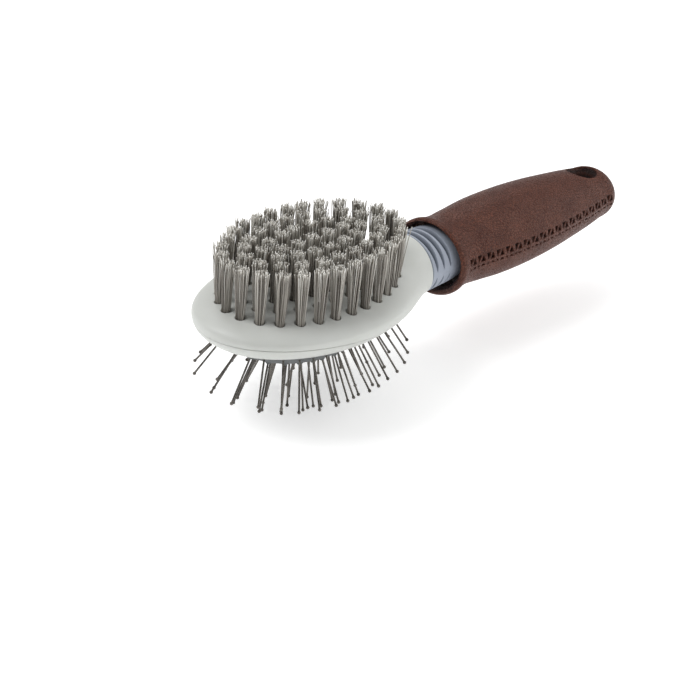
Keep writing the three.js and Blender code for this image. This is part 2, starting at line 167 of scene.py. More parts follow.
GRIP_FRONT_X = 60.6
GRIP_LIP_END_X = 65.2
GRIP_BODY_END_X = 156.2
GRIP_END_X = 160.6
GRIP_FLATNESS = 0.86
GRIP_STATIONS = (
    (60.6, 15), (61.4, 15.7), (62.8, 15.9), (65, 15.3), (68.5, 14.8), (78, 15.3), (88.5, 16.2),
    (99, 16.4), (110, 16.1), (120.5, 15.35), (131, 14.2), (142, 12.8), (150, 11.5),
)
GRIP_MOUTH = (13.2, 11.1)
GRIP_FUNNEL = 1.4
HANG_HOLE_X = 146.6
HANG_HOLE = (4.8, 3.8)
HANG_HOLE_ROUNDING = ((2.4, 11.5), (1.5, 8.9), (0.7, 8.1), (0.2, 7.3), (0, 6.4))

STITCH_PITCH = 4.65
STITCH_FROM = 65.2
STITCH_TO = 154.0
STITCH_DEPTH = 1.0
STITCH_BASE = 0.6  # height of the zigzag's foot above the side line
STITCH_HEIGHT = 2.5
STANDING = (3.05, 2.3, 0.12)  # a triangle's place in the pitch, its base and its lean
HANGING = (1.35, 2.1, -0.22)
PRICKS = ((3.3, 0.8), (1.0, 0.38))  # a prick's place in the pitch and its half length
PRICK_DROP = 0.95
PRICK_HALF_WIDTH = 0.33

# ---- camera, in brush millimetres ----
CAMERA_AT = (-450.1, -404.9, 311.6)
CAMERA_LENS = 106.7
CAMERA_AZIMUTH = -139.47167  # degrees, as is the rest of its aim
CAMERA_ELEVATION = 28.30793
CAMERA_ROLL = 5.27024


def make_camera():
    data = bpy.data.cameras.new("camera")
    data.lens = CAMERA_LENS
    data.sensor_width = 36
    data.clip_start = 0.01
    data.clip_end = 20
    camera = bpy.data.objects.new("camera", data)
    bpy.context.scene.collection.objects.link(camera)
    turn = (
        Matrix.Rotation(math.radians(90 + CAMERA_AZIMUTH), 4, "Z")
        @ Matrix.Rotation(math.radians(90 - CAMERA_ELEVATION), 4, "X")
        @ Matrix.Rotation(math.radians(CAMERA_ROLL), 4, "Z")
    )
    camera.matrix_world = Matrix.Translation(to_row(CAMERA_AT)) @ turn
    bpy.context.scene.camera = camera


# ---- shader helpers ----
def new_material(name, colour, roughness, metallic=0.0):
    material = bpy.data.materials.new(name)
    material.use_nodes = True
    shader = material.node_tree.nodes["Principled BSDF"]
    shader.inputs["Base Color"].default_value = (*[srgb(c) for c in colour], 1)
    shader.inputs["Roughness"].default_value = roughness
    shader.inputs["Metallic"].default_value = metallic
    return material, material.node_tree, shader


def srgb(value):
    """An 8-bit sRGB level as a linear one."""
    share = value / 255
    return share / 12.92 if share <= 0.04045 else ((share + 0.055) / 1.055) ** 2.4


def add_node(tree, kind, inputs=(), **settings):
    """A new node with its settings, and with the given input values."""
    node = tree.nodes.new(kind)
    for key, value in settings.items():
        setattr(node, key, value)
    for key, value in dict(inputs).items():
        node.inputs[key].default_value = value
    return node


def noise(tree, scale, detail=4.0, roughness=0.55, stretch=None):
    """Noise over the object's own coordinates; scale is per metre."""
    coordinates = add_node(tree, "ShaderNodeTexCoord")
    settings = {"Scale": scale, "Detail": detail, "Roughness": roughness}
    texture = add_node(tree, "ShaderNodeTexNoise", settings)
    if stretch is None:
        tree.links.new(coordinates.outputs["Object"], texture.inputs["Vector"])
    else:
        mapping = add_node(tree, "ShaderNodeMapping", {"Scale": stretch})
        tree.links.new(coordinates.outputs["Object"], mapping.inputs["Vector"])
        tree.links.new(mapping.outputs["Vector"], texture.inputs["Vector"])
    return texture.outputs["Fac"]


def spread(tree, source, low, high, from_low=0.3, from_high=0.7):
    """Maps source from the range from_low to from_high onto the range low to high."""
    node = add_node(
        tree,
        "ShaderNodeMapRange",
        {"From Min": from_low, "From Max": from_high, "To Min": low, "To Max": high},
    )
    tree.links.new(source, node.inputs["Value"])
    return node.outputs["Result"]


def colour_ramp(tree, source, stops):
    """Colours source by stops, each a position and an 8-bit sRGB colour."""
    node = add_node(tree, "ShaderNodeValToRGB")
    ramp = node.color_ramp
    while len(ramp.elements) < len(stops):
        ramp.elements.new(0.5)
    for element, (position, colour) in zip(ramp.elements, stops):
        element.position = position
        element.color = (*[srgb(c) for c in colour], 1)
    tree.links.new(source, node.inputs["Fac"])
    return node.outputs["Color"]


def bump(tree, shader, heights):
    """Chains bumps: heights is a list of (source, strength, distance in metres)."""
    previous = None
    for source, strength, distance in heights:
        node = add_node(tree, "ShaderNodeBump", {"Strength": strength, "Distance": distance})
        tree.links.new(source, node.inputs["Height"])
        if previous is not None:
            tree.links.new(previous.outputs["Normal"], node.inputs["Normal"])
        previous = node
    tree.links.new(previous.outputs["Normal"], shader.inputs["Normal"])


def paint_shade_in_hollows(tree, shader, base, deepest_painted_shade):
    """Paints shade into base, darker where the mesh's attribute for its hollows, 0 to 1, says that
    little light gets in.
    """
    hollow_shade = add_node(tree, "ShaderNodeAttribute", attribute_name="hollow_shade")
    depth = colour_ramp(tree, hollow_shade.outputs["Fac"], ((0.0, (255, 255, 255)), (1.0, deepest_painted_shade)))
    mix = add_node(tree, "ShaderNodeMix", data_type="RGBA", blend_type="MULTIPLY")
    mix.inputs["Factor"].default_value = 1.0
    tree.links.new(base, mix.inputs["A"])
    tree.links.new(depth, mix.inputs["B"])
    tree.links.new(mix.outputs["Result"], shader.inputs["Base Color"])


# ---- materials ----
def shell_material():
    material, tree, shader = new_material("shell_plastic", (205, 207, 203), 0.42)
    shader.inputs["Subsurface Weight"].default_value = 0.08
    shader.inputs["Subsurface Radius"].default_value = (0.004, 0.004, 0.0035)
    shader.inputs["Subsurface Scale"].default_value = 0.5
    cloud = noise(tree, 55, 3)
    tree.links.new(
        colour_ramp(tree, cloud, ((0.3, (196, 198, 193)), (0.7, (202, 204, 200)))),
        shader.inputs["Base Color"],
    )
    fine = noise(tree, 5200, 2)
    tree.links.new(spread(tree, noise(tree, 900, 5), 0.36, 0.5), shader.inputs["Roughness"])
    bump(tree, shader, [(fine, 0.18, 0.00004), (cloud, 0.1, 0.0002)])
    return material


def rubber_material():
    material, tree, shader = new_material("cushion_rubber", (96, 99, 100), 0.62)
    cloud = noise(tree, 120, 4)
    tree.links.new(
        colour_ramp(tree, cloud, ((0.3, (86, 89, 90)), (0.7, (104, 107, 108)))),
        shader.inputs["Base Color"],
    )
    tree.links.new(spread(tree, noise(tree, 700, 5), 0.52, 0.72), shader.inputs["Roughness"])
    bump(tree, shader, [(noise(tree, 4200, 3), 0.3, 0.00005)])
    return material


def collar_material():
    material, tree, shader = new_material("collar_elastomer", (150, 158, 172), 0.5)
    cloud = noise(tree, 160, 3)
    base = colour_ramp(tree, cloud, ((0.3, (146, 153, 166)), (0.7, (158, 165, 178))))
    # Painted shade: the grooves' insides are darkened towards (120, 124, 130), most at their bottoms.
    paint_shade_in_hollows(tree, shader, base, (120, 124, 130))
    tree.links.new(spread(tree, noise(tree, 1200, 4), 0.42, 0.58), shader.inputs["Roughness"])
    bump(tree, shader, [(noise(tree, 5000, 2), 0.2, 0.00004)])
    return material


def plastic_material():
    material, tree, shader = new_material("inner_plastic", (139, 141, 140), 0.55)
    tree.links.new(spread(tree, noise(tree, 800, 4), 0.48, 0.64), shader.inputs["Roughness"])
    bump(tree, shader, [(noise(tree, 3500, 2), 0.2, 0.00004)])
    return material


def grip_material():
    """Brown elastomer moulded with a leather grain: creased cells, pores, mottled colour and painted
    shade in creases and hollows.
    """
    material, tree, shader = new_material("grip_leather_grain", (76, 44, 33), 0.55)
    shader.inputs["Specular IOR Level"].default_value = 0.3
    coordinates = add_node(tree, "ShaderNodeTexCoord")
    warp = add_node(tree, "ShaderNodeTexNoise", {"Scale": 420.0, "Detail": 3.0})
    tree.links.new(coordinates.outputs["Object"], warp.inputs["Vector"])
    bend = add_node(tree, "ShaderNodeVectorMath", operation="MULTIPLY_ADD")
    bend.inputs[1].default_value = (0.0011, 0.0011, 0.0011)
    tree.links.new(warp.outputs["Color"], bend.inputs[0])
    tree.links.new(coordinates.outputs["Object"], bend.inputs[2])
    cells = add_node(tree, "ShaderNodeTexVoronoi", {"Scale": 1150.0}, feature="DISTANCE_TO_EDGE")
    tree.links.new(bend.outputs["Vector"], cells.inputs["Vector"])
    creases = spread(tree, cells.outputs["Distance"], 0.0, 1.0, 0.0, 0.16)
    pores = add_node(tree, "ShaderNodeTexVoronoi", {"Scale": 1900.0})
    tree.links.new(bend.outputs["Vector"], pores.inputs["Vector"])
    pits = spread(tree, pores.outputs["Distance"], 0.0, 1.0, 0.05, 0.3)
    mottle = noise(tree, 95, 5, 0.6)
    base = colour_ramp(tree, mottle, ((0.3, (90, 46, 31)), (0.7, (112, 65, 48))))
    # Painted shade: the creases of the grain are darkened towards (135, 120, 115).
    crease_shaded = add_node(tree, "ShaderNodeMix", data_type="RGBA", blend_type="MULTIPLY")
    crease_shaded.inputs["Factor"].default_value = 0.7
    tree.links.new(base, crease_shaded.inputs["A"])
    tree.links.new(
        colour_ramp(tree, creases, ((0.0, (135, 120, 115)), (1.0, (255, 255, 255)))),
        crease_shaded.inputs["B"],
    )
    # Painted shade in the stitches, the mouth and the hang hole, towards (110, 95, 90).
    paint_shade_in_hollows(tree, shader, crease_shaded.outputs["Result"], (110, 95, 90))
    tree.links.new(spread(tree, creases, 0.7, 0.4, 0.0, 1.0), shader.inputs["Roughness"])
    dents = noise(tree, 260, 4)
    bump(tree, shader, [(creases, 1.0, 0.0003), (pits, 0.7, 0.0002), (dents, 0.25, 0.0004)])
    return material


def nylon_material():
    """Translucent warm grey filament; its tone varies from filament to filament, with shade painted
    in towards each filament's foot.
    """
    material, tree, shader = new_material("bristle_nylon", (172, 166, 155), 0.42)
    tone = add_node(tree, "ShaderNodeAttribute", attribute_name="tone")
    tones_and_painted_shade = (
        (0.0, (96, 91, 84)), (0.35, (160, 155, 147)), (0.7, (206, 203, 195)), (1.0, (240, 238, 232)),
    )
    tree.links.new(colour_ramp(tree, tone.outputs["Fac"], tones_and_painted_shade), shader.inputs["Base Color"])
    shader.inputs["Subsurface Weight"].default_value = 0.15
    shader.inputs["Subsurface Radius"].default_value = (0.0012, 0.0011, 0.001)
    shader.inputs["Subsurface Scale"].default_value = 0.5
    streaks = noise(tree, 2600, 2, stretch=(1, 1, 0.08))
    tree.links.new(spread(tree, streaks, 0.34, 0.52), shader.inputs["Roughness"])
    bump(tree, shader, [(noise(tree, 5200, 2, stretch=(1, 1, 0.06)), 0.25, 0.00004)])
    return material


def steel_material():
    material, tree, shader = new_material("pin_steel", (150, 147, 142), 0.28, 1.0)
    drawn = noise(tree, 3600, 3, stretch=(1, 1, 0.05))
    tree.links.new(
        colour_ramp(tree, noise(tree, 240, 3), ((0.3, (74, 70, 66)), (0.7, (128, 124, 119)))),
        shader.inputs["Base Color"],
    )
    tree.links.new(spread(tree, drawn, 0.2, 0.38), shader.inputs["Roughness"])
    bump(tree, shader, [(drawn, 0.15, 0.00003)])
    return material


def floor_material():
    material, tree, shader = new_material("pale_floor", (246, 246, 246), 0.9)
    shader.inputs["Emission Color"].default_value = (1, 1, 1, 1)
    shader.inputs["Emission Strength"].default_value = 0.4
    shader.inputs["Specular IOR Level"].default_value = 0.1
    return material


# ---- mesh helpers ----
def mesh_piece(name, points, faces, material, slot, smooth_below):
    """A mesh object from brush millimetres. Edges sharper than smooth_below degrees stay sharp."""
    mesh = bpy.data.meshes.new(name)
    mesh.from_pydata(to_row(points).tolist(), [], faces)
    mesh.validate()
    obj = bpy.data.objects.new(name, mesh)
    bpy.context.scene.collection.objects.link(obj)
    mesh.materials.append(material)
    face_outwards(mesh)
    shade(mesh, smooth_below)
    return obj


def add_values(obj, name, values):
    """Stores one number per vertex, for a material to read."""
    attribute = obj.data.attributes.new(name, "FLOAT", "POINT")
    attribute.data.foreach_set("value", values)


def face_outwards(mesh):
    work = bmesh.new()
    work.from_mesh(mesh)
    bmesh.ops.recalc_face_normals(work, faces=work.faces)
    work.to_mesh(mesh)
    work.free()


def shade(mesh, smooth_below):
    """Smooth shading, but for edges sharper than smooth_below degrees."""
    mesh.shade_smooth()
    mesh.set_sharp_from_angle(angle=math.radians(smooth_below))


def skin(rings, closed=False):
    """Points and faces over rings of equal length; closed joins the last ring to the first."""
    sides = len(rings[0])
    points = np.concatenate([np.asarray(r, float) for r in rings])
    faces = []
    spans = len(rings) if closed else len(rings) - 1
    for i in range(spans):
        here, there = i * sides, ((i + 1) % len(rings)) * sides
        for j in range(sides):
            k = (j + 1) % sides
            faces.append((here + j, here + k, there + k, there + j))
    if not closed:
        faces.append(tuple(range(sides))[::-1])
        faces.append(tuple(range((len(rings) - 1) * sides, len(rings) * sides)))
    return points, faces


def joined(shapes):
    """The points and the faces of several shapes, as of one."""
    points, faces, offset = [], [], 0
    for shape_points, shape_faces in shapes:
        points.append(shape_points)
        faces += [tuple(v + offset for v in face) for face in shape_faces]
        offset += len(shape_points)
    return np.concatenate(points), faces


def oval(a, b, z, sides, x=0.0):
    angle = np.linspace(0, 2 * np.pi, sides, endpoint=False)
    return np.stack([x + a * np.cos(angle), b * np.sin(angle), np.full(sides, z)], 1)


def subtract(obj, points, faces):
    """Cuts a closed shape out of obj, with the boolean applied."""
    mesh = bpy.data.meshes.new("cutter")
    mesh.from_pydata(to_row(points).tolist(), [], faces)
    face_outwards(mesh)
    tool = bpy.data.objects.new("cutter", mesh)
    bpy.context.scene.collection.objects.link(tool)
    modifier = obj.modifiers.new("cut", "BOOLEAN")
    modifier.operation = "DIFFERENCE"
    modifier.solver = "EXACT"
    modifier.object = tool
    graph = bpy.context.evaluated_depsgraph_get()
    result = bpy.data.meshes.new_from_object(obj.evaluated_get(graph))
    obj.modifiers.clear()
    obj.data = result
    bpy.data.objects.remove(tool)


def ease(t):
    """A smooth way from 0 to 1 as t goes from 0 to 1."""
    return (1 - math.cos(math.pi * min(1.0, max(0.0, t)))) / 2


# ---- head shells ----
def along_neck(x):
    """How far x lies from the widest part of the head to the neck, from 0 to 1."""
    return min(1.0, max(0.0, (x - WIDEST_X) / (NECK_END_X - WIDEST_X)))


def along_nose(x):
    """How far x lies from the widest part of the head to its tip, from 0 to 1."""
    return min(1.0, max(0.0, (WIDEST_X - x) / (WIDEST_X - TIP_X)))


def nose_share(x):
    return math.sqrt(1 - along_nose(x) ** 2)


def head_half_width(x):
    taper = (1 - along_neck(x) ** NECK_TAPER[0]) ** NECK_TAPER[1]
    return (NECK_HALF_WIDTH + (HEAD_HALF_WIDTH - NECK_HALF_WIDTH) * taper) * nose_share(x)


def widest_height(x):
    return WIDEST_Z * (1 - ease(along_neck(x)))


def seam_height(x):
    return SEAM_Z - SEAM_DROP * max(0.0, (x - TIP_X) / (NECK_END_X - TIP_X)) ** SEAM_POWER


def crown_height(x):
    crest = WIDEST_Z + CROWN + (NECK_CREST - WIDEST_Z - CROWN) * ease(along_neck(x))
    return (crest - widest_height(x)) * nose_share(x) ** NOSE_FALL


def belly_depth(x):
    return (BELLY + (NECK_DEPTH - BELLY) * along_neck(x)) * nose_share(x)


def floor_height(x):
    return RIM_Z - (NECK_DEPTH + RIM_Z) * ease((x - RIM_END_X) / (NECK_END_X - RIM_END_X))


def head_stations():
    """Places of the sections along the head, crowded at the tip."""
    nose = [
        WIDEST_X - (WIDEST_X - TIP_X) * math.cos(math.pi / 2 * i / NOSE_STEPS)
        for i in range(NOSE_STEPS)
    ]
    nose[0] = TIP_X + 0.02
    neck = [WIDEST_X + (NECK_END_X - WIDEST_X) * i / NECK_STEPS for i in range(NECK_STEPS + 1)]
    return nose + neck


def seam_angle(x, z):
    """The angle on the section at x where its outline is at height z."""
    rise = z - widest_height(x)
    reach = crown_height(x) if rise > 0 else belly_depth(x)
    return math.asin(max(-0.999, min(0.999, rise / max(reach, 1e-6))))


def section_point(x, angle):
    reach = crown_height(x) if 0 < angle < math.pi else belly_depth(x)
    return head_half_width(x) * math.cos(angle), widest_height(x) + reach * math.sin(angle)


def upper_section(x):
    """The upper shell's outline across the head at x."""
    seam = seam_height(x) + SEAM_HALF_GAP
    start = seam_angle(x, seam + EDGE_START)
    ring = []
    for i in range(SECTION_STEPS + 1):
        y, z = section_point(x, start + (math.pi - 2 * start) * i / SECTION_STEPS)
        ring.append((x, y, z))
    return rolled_in(x, ring, seam, EDGE_LIFT)


def lower_section(x):
    """The lower shell's outline across the head at x, flat where it meets the underside."""
    seam = seam_height(x) - SEAM_HALF_GAP
    start = -seam_angle(x, seam - EDGE_START)
    floor_z = floor_height(x)
    ring = []
    for i in range(SECTION_STEPS + 1):
        y, z = section_point(x, -(start + (math.pi - 2 * start) * i / SECTION_STEPS))
        ring.append((x, y, soft_floor(z, floor_z)))
    return rolled_in(x, ring, seam, -EDGE_LIFT)


def rolled_in(x, ring, seam, lift):
    """An outline closed along the seam, with both of its edges rolled in."""
    roll = min(EDGE_ROLL, EDGE_ROLL_SHARE * head_half_width(x))
    first, last = ring[0], ring[-1]
    left = [(x, last[1] + roll * 0.3, seam + lift), (x, last[1] + roll, seam)]
    right = [(x, first[1] - roll, seam), (x, first[1] - roll * 0.3, seam + lift)]
    return right + ring + left


def soft_floor(z, floor_z):
    """The larger of z and floor_z, with the corner between them rounded."""
    gap = z - floor_z
    if gap >= FLOOR_BLEND:
        return z
    if gap <= -FLOOR_BLEND:
        return floor_z
    return floor_z + (gap + FLOOR_BLEND) ** 2 / (4 * FLOOR_BLEND)


def upper_shell(material):
    points, faces = skin([upper_section(x) for x in head_stations()])
    shell = mesh_piece("upper_shell_skin", points, faces, material, "shell", 40)
    subtract(shell, *skin([oval(*POCKET, z, 96) for z in (-20, POCKET_ROOF_Z)]))
    subtract(shell, *joined([skin(socket_rings(x, y)) for x, y in tuft_places()]))
    shade(shell.data, 40)
    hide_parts("upper_shell")
    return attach(shell, "brush_body")


def socket_rings(x, y):
    """A moulded socket: a short flare at the surface over a straight hole."""
    top = crown_over(x, y)
    return [oval(r, r, top + rise, 20, x) + np.array([0, y, 0]) for r, rise in SOCKET]


def crown_over(x, y):
    """Height of the upper shell over a place."""
    share = min(0.999, abs(y) / head_half_width(x))
    return widest_height(x) + crown_height(x) * math.sqrt(1 - share * share)


def lower_shell(material):
    points, faces = skin([lower_section(x) for x in head_stations()])
    shell = mesh_piece("lower_shell_skin", points, faces, material, "shell", 40)
    a, b = WINDOW
    lip = ((0.35, RIM_Z - 0.35), (0.22, RIM_Z - 0.05), (0.08, RIM_Z + 0.4), (0, RIM_Z + 0.9), (0, 12))
    flare = [(WINDOW_FLARE + 0.35, RIM_Z - 0.35 - WINDOW_FLARE), *lip]
    subtract(shell, *skin([oval(a + out, b + out, z, 128) for out, z in flare]))
    shade(shell.data, 40)
    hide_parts("lower_shell")
    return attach(shell, "brush_body")


# ---- bristle tufts ----
def evenly_round(a, b, count):
    """Places the same way apart along an oval."""
    fine = 720
    angle = np.linspace(0, 2 * np.pi, fine + 1)
    line = np.stack([a * np.cos(angle), b * np.sin(angle)], 1)
    travelled = np.concatenate([[0], np.cumsum(np.linalg.norm(np.diff(line, axis=0), axis=1))])
    wanted = (np.arange(count) + 0.5) * travelled[-1] / count
    return [tuple(line[np.searchsorted(travelled, w)]) for w in wanted]


def tuft_places():
    places = [p for ring in TUFT_RINGS for p in evenly_round(*ring)]
    half = (TUFT_ROW_COUNT - 1) / 2
    return places + [((i - half) * TUFT_ROW_PITCH, 0.0) for i in range(TUFT_ROW_COUNT)]


def bank_of(x):
    return min(BANKS - 1, max(0, round(x / BANK_PITCH + (BANKS - 1) / 2 + 1e-9)))


def filament(foot, tip, radius, bow, hook):
    """A filament: bowed, bent over at the cut end by hook, and cut on a slant.

    Returns its points, its faces, and how far along it each point lies."""
    rings = []
    for i in range(FILAMENT_STEPS + 1):
        t = math.sin(math.pi / 2 * i / FILAMENT_STEPS)
        middle = foot + (tip - foot) * t + bow * math.sin(math.pi * t) + hook * t**9
        size = radius * (1 - 0.1 * t)
        rings.append(oval(size, size, 0, FILAMENT_SIDES) + middle)
    rings[-1][:, 2] += 0.5 * (rings[-1][:, 0] - rings[-1][:, 0].mean())
    points, faces = skin(rings)
    along = np.repeat(np.linspace(0, 1, FILAMENT_STEPS + 1), FILAMENT_SIDES)
    return points, faces, along


def tuft(x, y, draw):
    """One tuft: filaments packed in the socket that spread towards the cut."""
    base = crown_over(x, y) - TUFT_ROOT
    golden = math.pi * (3 - math.sqrt(5))
    twist = draw.uniform(0, 2 * math.pi)
    lean = np.array([draw.gauss(0, TUFT_LEAN), draw.gauss(0, TUFT_LEAN)])
    parts = []
    for i in range(FILAMENTS):
        share = math.sqrt((i + 0.5) / FILAMENTS)
        angle = i * golden + twist
        around = np.array([math.cos(angle), math.sin(angle)])
        foot = np.array([x, y]) + around * share * (TUFT_FOOT_R - FILAMENT_R)
        stray = STRAY_SPREAD if draw.random() < STRAY_CHANCE else 1.0
        flare = around * share * TUFT_TOP_R * stray + lean
        scatter = np.array([draw.gauss(0, TIP_SCATTER), draw.gauss(0, TIP_SCATTER)])
        tip = np.array([x, y]) + flare + scatter
        top = TRIM_Z - abs(draw.gauss(0, TRIM_SCATTER)) + TRIM_RISE
        bow = np.array([draw.gauss(0, FILAMENT_BOW), draw.gauss(0, FILAMENT_BOW), 0])
        hook = np.array([draw.gauss(0, FILAMENT_HOOK), draw.gauss(0, FILAMENT_HOOK), 0])
        radius = FILAMENT_R * draw.uniform(0.85, 1.15)
        shape = filament(np.array([*foot, base]), np.array([*tip, top]), radius, bow, hook)
        parts.append((*shape, draw.choice(FILAMENT_TONES) + draw.uniform(-0.08, 0.08)))
    return parts


def bristle_bank(bank, material, draw):
    """The tufts of one bank; each filament is painted darker towards its foot, as painted shade, and
    pale at its cut end.
    """
    shapes, tones_and_painted_shade = [], []
    for x, y in tuft_places():
        if bank_of(x) != bank:
            continue
        for points, faces, along, tone in tuft(x, y, draw):
            shapes.append((points, faces))
            # Painted shade: the tone falls towards the filament's foot; it rises at the cut end.
            tones_and_painted_shade += list(tone * (0.45 + 0.45 * along) + 0.35 * along**8)
    name = f"bristle_tufts_{bank + 1}"
    obj = mesh_piece(name, *joined(shapes), material, "bristle", 50)
    add_values(obj, "tone", tones_and_painted_shade)
    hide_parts(f"bristle_bank_{bank + 1}")
    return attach(obj, "brush_body")


# ---- cushion and pins ----
def dome_height(x, y):
    share = np.hypot(x / DOME[0], y / DOME[1]) / DOME_SPREAD
    return DOME_Z + DOME_DEPTH * (1 - np.sqrt(1 - share * share))


def row_x(row):
    return (row - (len(PIN_ROWS) - 1) / 2) * PIN_ROW_PITCH


def row_pins(row):
    """Foot and outward direction of each pin in a cross row; no two pins lean quite alike."""
    draw = random.Random(row)
    x = row_x(row)
    reach = PIN_OVAL[1] * math.sqrt(1 - (x / PIN_OVAL[0]) ** 2)
    count = PIN_ROWS[row]
    pins = []
    for i in range(count):
        y = reach * (2 * i / (count - 1) - 1)
        lean = np.array([x * PIN_SPLAY[0], y * PIN_SPLAY[1], -1.0])
        lean[:2] += draw.gauss(0, PIN_STRAY), draw.gauss(0, PIN_STRAY)
        pins.append((np.array([x, y, dome_height(x, y)]), lean / np.linalg.norm(lean)))
    return pins


def cushion(material):
    """The rubber dome with its fixed edge: one moulding that stretches as the pins press in."""
    sides = 128
    shares = np.sin(np.linspace(0.02, 1, 34) * math.pi / 2) * 0.985
    rings = [oval(DOME[0] * s, DOME[1] * s, dome_height(DOME[0] * s, 0), sides) for s in shares]
    bend = ((0.993, -0.75), (0.998, -0.2), (1.0, 0.35), (1.03, 0.55))
    flange = ((1.05, 0.6), (1.05, 1.6), (0.94, 1.6))
    rings += [oval(DOME[0] * s, DOME[1] * s, z, sides) for s, z in bend + flange]
    pins = [place for row in range(len(PIN_ROWS)) for place in row_pins(row)]
    points, faces = joined([skin(rings), *[pin_collar(foot, lean) for foot, lean in pins]])
    obj = mesh_piece("cushion_rubber", points, faces, material, "cushion", 60)
    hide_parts("cushion_dome", "cushion_rim")
    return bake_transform(obj)


def turned(points, foot, lean):
    """Points made round the Z axis, turned so that Z runs along lean, and moved to foot."""
    turn = Vector((0, 0, 1)).rotation_difference(Vector(lean)).to_matrix()
    return np.asarray(points) @ np.array(turn).T + foot


def pin_collar(foot, lean):
    """The raised ring of rubber where a pin leaves the dome."""
    points, faces = skin([oval(r, r, z, 14) for r, z in PIN_COLLAR], closed=True)
    return turned(points, foot, lean), faces


def pin(foot, lean):
    """A wire with a ball tip, made round the Z axis."""
    ball = PIN_BALL_R
    wire = [(PIN_R, -PIN_ROOT), (PIN_R, PIN_LENGTH - 1.5), (PIN_R * 1.08, PIN_LENGTH - 0.9)]
    tip = [
        (ball * math.sin(angle), PIN_LENGTH - ball * math.cos(angle))
        for angle in np.linspace(0.62, math.pi - 0.08, 9)
    ]
    points, faces = skin([oval(r, r, z, 12) for r, z in wire + tip])
    return turned(points, foot, lean), faces


def pin_row(row, material):
    points, faces = joined([pin(foot, lean) for foot, lean in row_pins(row)])
    obj = mesh_piece(f"pins_{row + 1}", points, faces, material, "pin", 60)
    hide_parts(f"pin_row_{row + 1}")
    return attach(obj, f"pin_row_{row + 1}")


# ---- collar ----
def collar_radius(x):
    """Half width and half height of the collar."""
    t = (x - COLLAR_X[0]) / (COLLAR_X[1] - COLLAR_X[0])
    wide = COLLAR_WIDE[0] + (COLLAR_WIDE[1] - COLLAR_WIDE[0]) * t
    high = COLLAR_HIGH[0] + (COLLAR_HIGH[1] - COLLAR_HIGH[0]) * t
    return wide, high


def groove_depth(x, angle):
    """Crescents: deepest above and below, running out towards the sides."""
    fade = max(0.0, abs(math.sin(angle)) - GROOVE_FROM) / (1 - GROOVE_FROM)
    depth = 0.0
    for i in range(GROOVE_COUNT):
        half = GROOVE_HALF_WIDTH * fade**0.55
        away = abs(x - GROOVE_FIRST - i * GROOVE_PITCH)
        if half > 0 and away < half:
            depth = max(depth, GROOVE_DEPTH * fade**0.4 * min(1.0, (half - away) / half * 2.2))
    return depth


def neck_collar(material):
    sides = 192
    steps = 190
    rings = []
    groove_shade = []
    for i in range(steps + 1):
        x = COLLAR_X[0] + (COLLAR_X[1] - COLLAR_X[0]) * i / steps
        wide, high = collar_radius(x)
        edge = min(1.0, (x - COLLAR_X[0]) / COLLAR_EDGE[0])
        rounding = COLLAR_EDGE[1] * (1 - math.sqrt(max(0.0, 1 - (1 - edge) ** 2)))
        ring = []
        for j in range(sides):
            angle = 2 * math.pi * j / sides
            line = MOULD_LINE[0] * math.exp(-((math.sin(angle) * wide / MOULD_LINE[1]) ** 2))
            groove = groove_depth(x, angle)
            inset = groove + rounding - line
            z = COLLAR_Z + (high - inset) * math.sin(angle)
            ring.append((x, (wide - inset) * math.cos(angle), z))
            # Painted shade: how far down a groove the point lies, for the collar material to darken.
            groove_shade.append(min(1.0, groove / GROOVE_DEPTH * 1.3))
        rings.append(ring)
    angle = np.linspace(0, 2 * np.pi, sides, endpoint=False)
    for x in reversed(COLLAR_X):
        wide, high = collar_radius(x)
        height = COLLAR_Z + (high - COLLAR_WALL) * np.sin(angle)
        side = (wide - COLLAR_WALL) * np.cos(angle)
        rings.append(np.stack([np.full(sides, x), side, height], 1))
    points, faces = skin(rings, closed=True)
    obj = mesh_piece("collar_ribbed", points, faces, material, "collar", 50)
    add_values(obj, "hollow_shade", groove_shade + [0.0] * (len(points) - len(groove_shade)))
    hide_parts("neck_collar")
    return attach(obj, "brush_body")


# ---- grip ----
def grip_curve():
    """The stations along the grip, its half widths there, and the slopes between them."""
    x, half_width = np.array(GRIP_STATIONS).T
    return x, half_width, np.gradient(half_width, x)


def grip_half_width(x):
    """Half width at x: a smooth curve through the stations, and a rounded end after the last."""
    xs, rs, slopes = GRIP_TABLE
    if x >= xs[-1]:
        share = min(1.0, (x - xs[-1]) / (GRIP_END_X - xs[-1]))
        return rs[-1] * math.sqrt(max(0.0, 1 - share**2.6))
    i = int(np.clip(np.searchsorted(xs, x) - 1, 0, len(xs) - 2))
    h = xs[i + 1] - xs[i]
    t = (x - xs[i]) / h
    a, b = 2 * t**3 - 3 * t**2 + 1, t**3 - 2 * t**2 + t
    c, d = -2 * t**3 + 3 * t**2, t**3 - t**2
    return a * rs[i] + b * h * slopes[i] + c * rs[i + 1] + d * h * slopes[i + 1]


GRIP_TABLE = grip_curve()


def triangle_pit(u, v, triangle):
    """How deep a point lies in a triangle that stands on v = 0; its apex is at STITCH_HEIGHT."""
    place, base, lean = triangle
    if v < 0 or v > STITCH_HEIGHT:
        return 0.0
    half = base / 2 * (1 - v / STITCH_HEIGHT)
    inside = min(half - abs(u - place - lean * v), v)
    return max(0.0, min(1.0, inside / 0.2))


